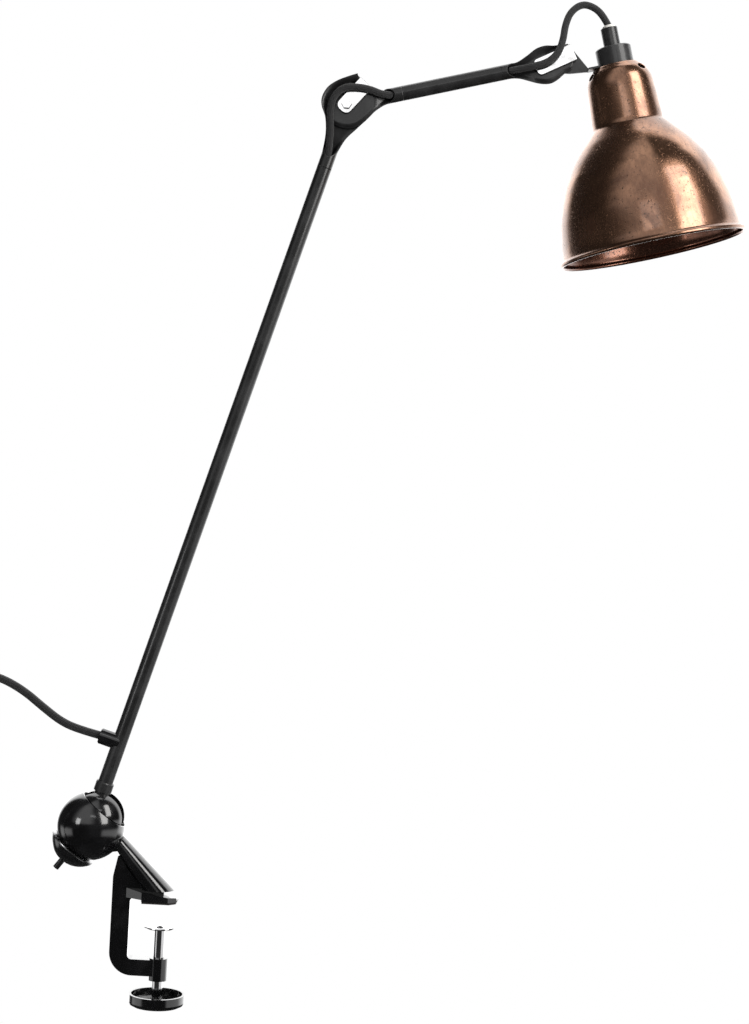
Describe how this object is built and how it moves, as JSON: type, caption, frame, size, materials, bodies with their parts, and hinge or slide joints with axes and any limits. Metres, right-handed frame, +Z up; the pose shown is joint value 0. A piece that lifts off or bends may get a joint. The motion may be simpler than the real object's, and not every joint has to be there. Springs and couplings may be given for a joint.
{
  "type": "architect desk lamp",
  "caption": "Clamp-on architect desk lamp with a ball joint, two hinged arms, a tilting copper bell shade and a textile supply cord.",
  "frame": {"origin": "on the clamp screw's axis, at the underside of the upper jaw's pad, where it rests on the table top", "axes": "+Z up, +X from the clamp's spine out over the table, -Y towards the side that shows the elbow's bolt head"},
  "size_m": [0.6235, 0.14, 0.7571],
  "materials": {
    "gloss_black": "gloss black enamel on a casting",
    "satin_black": "satin black enamel on steel",
    "leather_pad": "thin black leather",
    "chrome": "polished plate with light wear",
    "spring_steel": "bright steel",
    "fibre": "fibre washer",
    "braided_cord": "black textile braid",
    "black_plastic": "moulded",
    "clear_plastic": "translucent",
    "contact_brass": "plain brass",
    "aged_copper": "raw copper, aged brown and streaked, lacquered"
  },
  "bodies": {
    "clamp": {"clamp_frame": "gloss_black", "jaw_pad": "leather_pad"},
    "swivel": {"ball_lower_cap": "gloss_black", "ball_upper_cap": "gloss_black", "seam_washer": "spring_steel", "swivel_bolt": "satin_black", "tilt_pin": "spring_steel"},
    "lower_arm": {"arm_eye": "satin_black", "tilt_washers": "spring_steel", "arm_collar": "satin_black", "elbow_bar": "chrome", "elbow_bolt": "chrome", "elbow_spring_washer": "spring_steel", "elbow_nut": "chrome", "lower_arm_tube": "satin_black", "cord_ferrule": "gloss_black", "lower_arm_lead": "braided_cord", "elbow_hood": "satin_black", "elbow_friction_disc": "fibre", "elbow_cord": "braided_cord", "supply_cord": "braided_cord", "cord_coil": "braided_cord", "coil_tie": "black_plastic", "cord_tail": "braided_cord", "plug_body": "black_plastic", "plug_pins": "chrome"},
    "short_arm": {"short_arm_elbow_leaf": "satin_black", "short_arm_tube": "satin_black", "short_arm_head_leaf": "satin_black", "short_arm_lead": "braided_cord", "head_cord": "braided_cord"},
    "head": {"head_bar": "chrome", "head_bolt": "chrome", "head_spring_washer": "spring_steel", "head_nut": "chrome", "head_bracket": "satin_black", "head_friction_disc": "fibre", "lampholder_cap": "satin_black", "lampholder_neck": "satin_black", "cord_grip": "clear_plastic", "holder_lead": "braided_cord", "lampholder_body": "black_plastic", "socket_shell": "contact_brass", "socket_contact": "contact_brass", "shade_ring": "black_plastic", "shade": "aged_copper"},
    "pressure_foot": {"pressure_disc": "chrome"},
    "screw": {"clamp_screw": "chrome", "screw_tip_rivet": "chrome", "clamp_knob": "gloss_black", "knob_nut": "chrome"}
  },
  "joints": [
    {"name": "base_swivel", "type": "hinge", "parent": "clamp", "child": "swivel", "pos_m": [-0.056, 0, 0.0522], "axis": [0.6004, 0, 0.7997], "range_deg": [-135, 135]},
    {"name": "arm_tilt", "type": "hinge", "parent": "swivel", "child": "lower_arm", "pos_m": [-0.056, 0, 0.0522], "axis": [0, 1, 0], "range_deg": [-14, 54]},
    {"name": "elbow", "type": "hinge", "parent": "lower_arm", "child": "short_arm", "pos_m": [0.10584, 0, 0.59509], "axis": [0, 1, 0], "range_deg": [-48, 44], "deforming": ["elbow_cord"]},
    {"name": "head_tilt", "type": "hinge", "parent": "short_arm", "child": "head", "pos_m": [0.25458, 0, 0.63383], "axis": [0, 1, 0], "range_deg": [-80, 45], "deforming": ["head_cord"]},
    {"name": "screw_travel", "type": "slide", "parent": "clamp", "child": "pressure_foot", "axis": [0, 0, 1], "range_m": [-0.017, 0.013]},
    {"name": "screw_turn", "type": "hinge", "parent": "pressure_foot", "child": "screw", "pos_m": [0, 0, 0], "axis": [0, 0, 1], "range_deg": [-4900, 3750]}
  ],
  "couplings": [
    {"joint": "screw_turn", "follows": "screw_travel", "rad_per_m": 5026.5}
  ]
}
